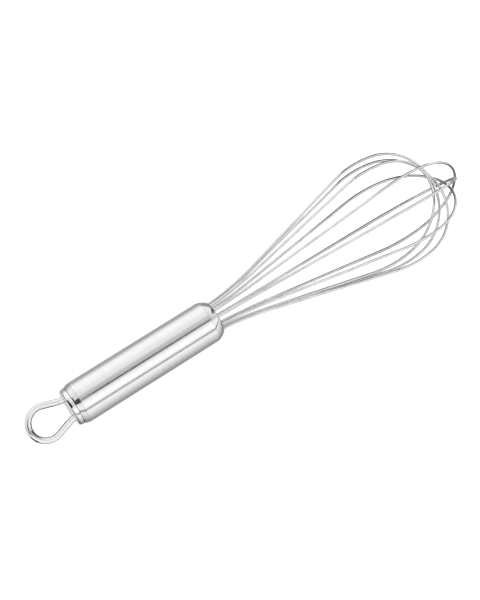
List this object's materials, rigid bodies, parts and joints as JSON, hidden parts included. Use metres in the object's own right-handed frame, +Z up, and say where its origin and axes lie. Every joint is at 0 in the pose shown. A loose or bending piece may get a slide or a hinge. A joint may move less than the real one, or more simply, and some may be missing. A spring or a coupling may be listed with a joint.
{
  "type": "balloon whisk",
  "caption": "Hand whisk with a thin round steel handle, a wire hanging loop at its rear and a balloon of crossing wire loops at its front.",
  "frame": {"origin": "on the table under the middle of the whisk's bounding box, with the whisk lying at rest", "axes": "+X along the whisk from the hanging loop to the balloon, +Z up, +Y to the left of someone looking along +X"},
  "size_m": [0.2566, 0.0602, 0.0582],
  "materials": {
    "tube_steel": "finely brushed, polished at both rounded ends",
    "cap_steel": "polished stainless steel",
    "loop_steel": "polished stainless steel wire",
    "wire_steel": "bright drawn stainless steel wire",
    "inner_steel": "plain stamped stainless steel",
    "seal_resin": "matt cast resin"
  },
  "bodies": {
    "root": {"handle_tube": "tube_steel", "rear_cap": "cap_steel", "hanging_loop": "loop_steel", "loop_anchor_plate": "inner_steel", "wire_guide_disc": "inner_steel", "wire_seal": "seal_resin", "wire_loop_1": "wire_steel", "wire_loop_2": "wire_steel", "wire_loop_3": "wire_steel", "wire_loop_4": "wire_steel", "wire_loop_5": "wire_steel", "wire_loop_6": "wire_steel"}
  },
  "joints": []
}
